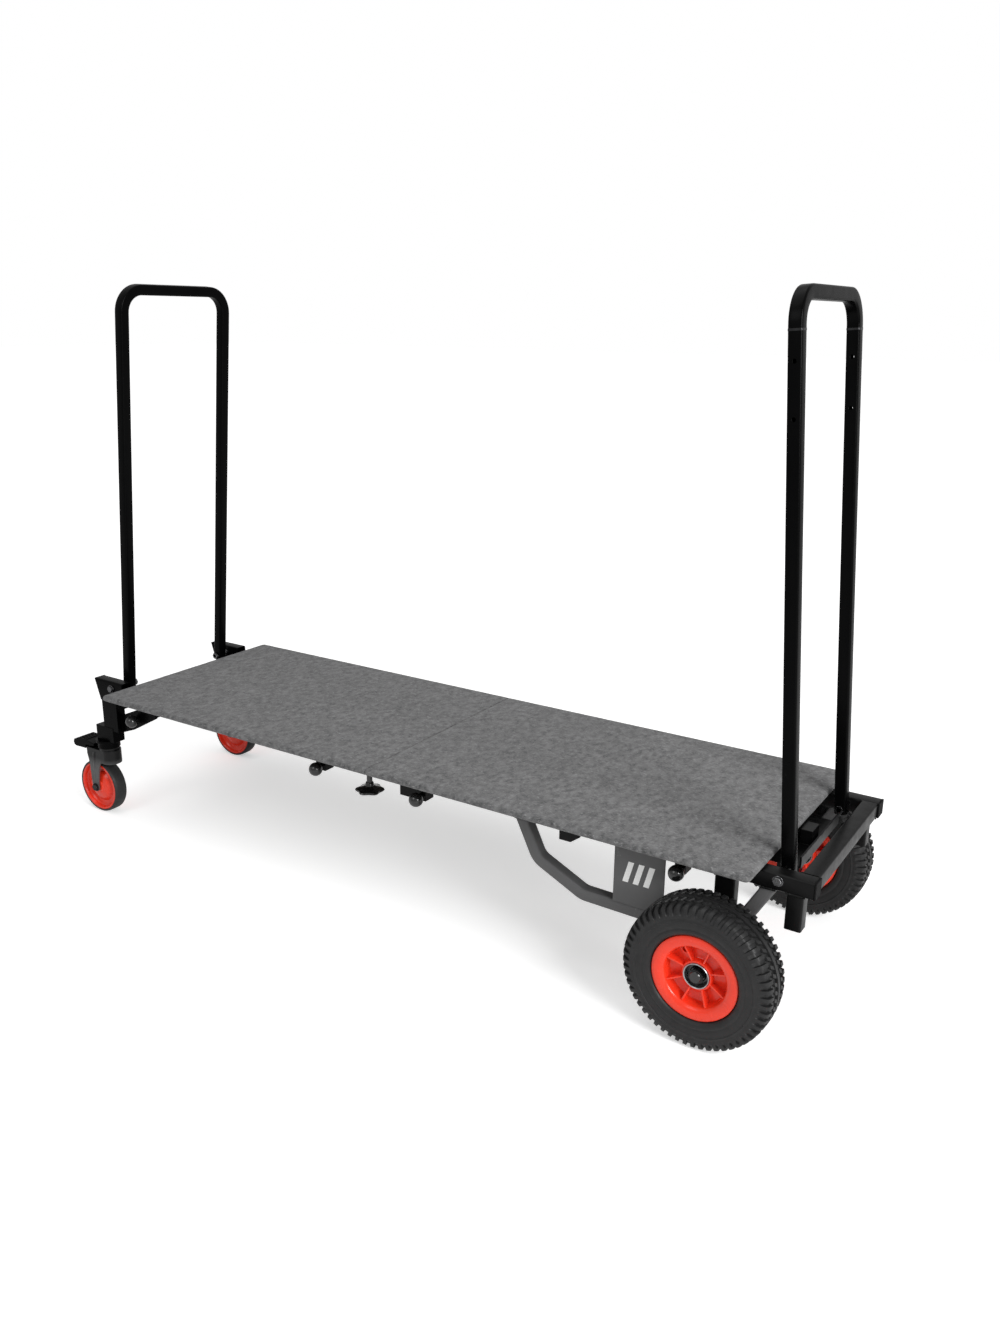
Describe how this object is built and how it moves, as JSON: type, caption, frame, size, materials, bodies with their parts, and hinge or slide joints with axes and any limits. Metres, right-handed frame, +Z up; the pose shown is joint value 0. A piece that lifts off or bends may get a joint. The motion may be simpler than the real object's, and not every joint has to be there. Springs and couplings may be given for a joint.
{
  "type": "convertible hand truck",
  "caption": "Low telescoping cart with a folding carpeted deck, an upright handle at each end, two large rear wheels and braked swivel casters.",
  "frame": {"origin": "centre of the whole cart's footprint, on the floor", "axes": "+X along the deck towards the large wheels, +Y across to the right side, +Z up"},
  "size_m": [1.521, 0.516, 1.0324],
  "materials": {
    "carpet": "felted loop carpet",
    "black_paint": "satin powder coat",
    "caster_steel": "satin",
    "black_bolt": "black oxide",
    "bright_steel": "zinc plated",
    "red_plastic": "glossy moulded",
    "black_plastic": "moulded",
    "tyre_rubber": "matte",
    "caster_rubber": "matte"
  },
  "bodies": {
    "frame": {"axle": "bright_steel", "axle_blocks": "black_paint", "axle_posts": "black_paint", "axle_rings": "bright_steel", "axle_spacers": "black_paint", "deck_clips": "black_paint", "deck_rear": "carpet", "rear_catch_plate": "black_paint", "rear_cross_tube": "black_paint", "rear_deck_tube": "black_paint", "rear_end_tube": "black_paint", "rear_lock_blocks": "black_paint", "rear_pivot_bolts": "black_bolt", "rear_rail_left": "black_paint", "rear_rail_plugs": "black_plastic", "rear_rail_right": "black_paint", "side_plates": "black_paint", "stub_legs": "black_paint", "underframe_left": "black_paint", "underframe_right": "black_paint"},
    "front_frame": {"caster_arm_left": "black_paint", "caster_arm_right": "black_paint", "caster_kingpins": "bright_steel", "caster_lock_blocks": "black_paint", "caster_plates": "caster_steel", "front_cross_tube": "black_paint", "front_pivot_bolts": "black_bolt", "front_rail_left": "black_paint", "front_rail_right": "black_paint", "front_sleeve_plugs": "black_plastic", "front_sleeves": "black_paint"},
    "front_handle": {"front_handle_tube": "black_paint"},
    "rear_handle": {"rear_handle_tube": "black_paint"},
    "deck_front_panel": {"deck_front": "carpet"},
    "wheel_left": {"tyre_left": "tyre_rubber", "rim_left": "red_plastic", "wheel_bearings_left": "bright_steel"},
    "caster_left": {"caster_fork_left": "caster_steel", "caster_bolt_left": "black_bolt"},
    "caster_wheel_left": {"caster_tyre_left": "caster_rubber", "caster_rim_left": "red_plastic"},
    "brake_left": {"brake_pedal_left": "caster_steel"},
    "clamp_left": {"clamp_knob_left": "black_plastic"},
    "slide_stop_pin_left": {"slide_stop_left": "black_plastic"},
    "slide_lock_pin_left": {"slide_lock_left": "black_plastic"},
    "deck_lock_pin_left": {"deck_lock_left": "black_plastic"},
    "caster_lock_pin_left": {"caster_lock_left": "black_plastic"},
    "wheel_right": {"tyre_right": "tyre_rubber", "rim_right": "red_plastic", "wheel_bearings_right": "bright_steel"},
    "caster_right": {"caster_fork_right": "caster_steel", "caster_bolt_right": "black_bolt"},
    "caster_wheel_right": {"caster_tyre_right": "caster_rubber", "caster_rim_right": "red_plastic"},
    "brake_right": {"brake_pedal_right": "caster_steel"},
    "clamp_right": {"clamp_knob_right": "black_plastic"},
    "slide_stop_pin_right": {"slide_stop_right": "black_plastic"},
    "slide_lock_pin_right": {"slide_lock_right": "black_plastic"},
    "deck_lock_pin_right": {"deck_lock_right": "black_plastic"},
    "caster_lock_pin_right": {"caster_lock_right": "black_plastic"}
  },
  "joints": [
    {"name": "frame_slide", "type": "slide", "parent": "frame", "child": "front_frame", "axis": [1, 0, 0], "range_m": [0, 0.24]},
    {"name": "deck_fold", "type": "hinge", "parent": "frame", "child": "deck_front_panel", "pos_m": [0.0255, 0, 0.2705], "axis": [0, 1, 0], "range_deg": [0, 180]},
    {"name": "front_handle_fold", "type": "hinge", "parent": "front_frame", "child": "front_handle", "pos_m": [-0.6705, 0, 0.262], "axis": [0, -1, 0], "range_deg": [0, 95]},
    {"name": "rear_handle_tilt", "type": "hinge", "parent": "frame", "child": "rear_handle", "pos_m": [0.7075, 0, 0.248], "axis": [0, 1, 0], "range_deg": [0, 40]},
    {"name": "wheel_left_spin", "type": "hinge", "parent": "frame", "child": "wheel_left", "pos_m": [0.629, -0.223, 0.1115], "axis": [0, 1, 0], "continuous": true},
    {"name": "caster_left_swivel", "type": "hinge", "parent": "front_frame", "child": "caster_left", "pos_m": [-0.6725, -0.185, 0.136], "axis": [0, 0, 1], "continuous": true},
    {"name": "caster_left_roll", "type": "hinge", "parent": "caster_left", "child": "caster_wheel_left", "pos_m": [-0.7015, -0.185, 0.055], "axis": [0, 1, 0], "continuous": true},
    {"name": "brake_left_press", "type": "hinge", "parent": "caster_left", "child": "brake_left", "pos_m": [-0.7005, -0.185, 0.146], "axis": [0, -1, 0], "range_deg": [0, 8]},
    {"name": "clamp_left_turn", "type": "hinge", "parent": "frame", "child": "clamp_left", "pos_m": [-0.0185, -0.1565, 0.196], "axis": [0, 0, 1], "range_deg": [-360, 360]},
    {"name": "slide_stop_left_pull", "type": "slide", "parent": "frame", "child": "slide_stop_pin_left", "axis": [0, -1, 0], "range_m": [0, 0.008], "stiffness_N_per_m": 600, "springref_m": -0.004},
    {"name": "slide_lock_left_pull", "type": "slide", "parent": "frame", "child": "slide_lock_pin_left", "axis": [0, -1, 0], "range_m": [0, 0.008], "stiffness_N_per_m": 600, "springref_m": -0.004},
    {"name": "deck_lock_left_pull", "type": "slide", "parent": "frame", "child": "deck_lock_pin_left", "axis": [0, -1, 0], "range_m": [0, 0.008], "stiffness_N_per_m": 600, "springref_m": -0.004},
    {"name": "caster_lock_left_pull", "type": "slide", "parent": "front_frame", "child": "caster_lock_pin_left", "axis": [0, -1, 0], "range_m": [0, 0.008], "stiffness_N_per_m": 600, "springref_m": -0.004},
    {"name": "wheel_right_spin", "type": "hinge", "parent": "frame", "child": "wheel_right", "pos_m": [0.629, 0.223, 0.1115], "axis": [0, 1, 0], "continuous": true},
    {"name": "caster_right_swivel", "type": "hinge", "parent": "front_frame", "child": "caster_right", "pos_m": [-0.6725, 0.185, 0.136], "axis": [0, 0, 1], "continuous": true},
    {"name": "caster_right_roll", "type": "hinge", "parent": "caster_right", "child": "caster_wheel_right", "pos_m": [-0.7015, 0.185, 0.055], "axis": [0, 1, 0], "continuous": true},
    {"name": "brake_right_press", "type": "hinge", "parent": "caster_right", "child": "brake_right", "pos_m": [-0.7005, 0.185, 0.146], "axis": [0, -1, 0], "range_deg": [0, 8]},
    {"name": "clamp_right_turn", "type": "hinge", "parent": "frame", "child": "clamp_right", "pos_m": [-0.0185, 0.1565, 0.196], "axis": [0, 0, 1], "range_deg": [-360, 360]},
    {"name": "slide_stop_right_pull", "type": "slide", "parent": "frame", "child": "slide_stop_pin_right", "axis": [0, 1, 0], "range_m": [0, 0.008], "stiffness_N_per_m": 600, "springref_m": -0.004},
    {"name": "slide_lock_right_pull", "type": "slide", "parent": "frame", "child": "slide_lock_pin_right", "axis": [0, 1, 0], "range_m": [0, 0.008], "stiffness_N_per_m": 600, "springref_m": -0.004},
    {"name": "deck_lock_right_pull", "type": "slide", "parent": "frame", "child": "deck_lock_pin_right", "axis": [0, 1, 0], "range_m": [0, 0.008], "stiffness_N_per_m": 600, "springref_m": -0.004},
    {"name": "caster_lock_right_pull", "type": "slide", "parent": "front_frame", "child": "caster_lock_pin_right", "axis": [0, 1, 0], "range_m": [0, 0.008], "stiffness_N_per_m": 600, "springref_m": -0.004}
  ],
  "couplings": [
    {"joint": "deck_fold", "follows": "frame_slide", "rad_per_m": 13.09}
  ]
}
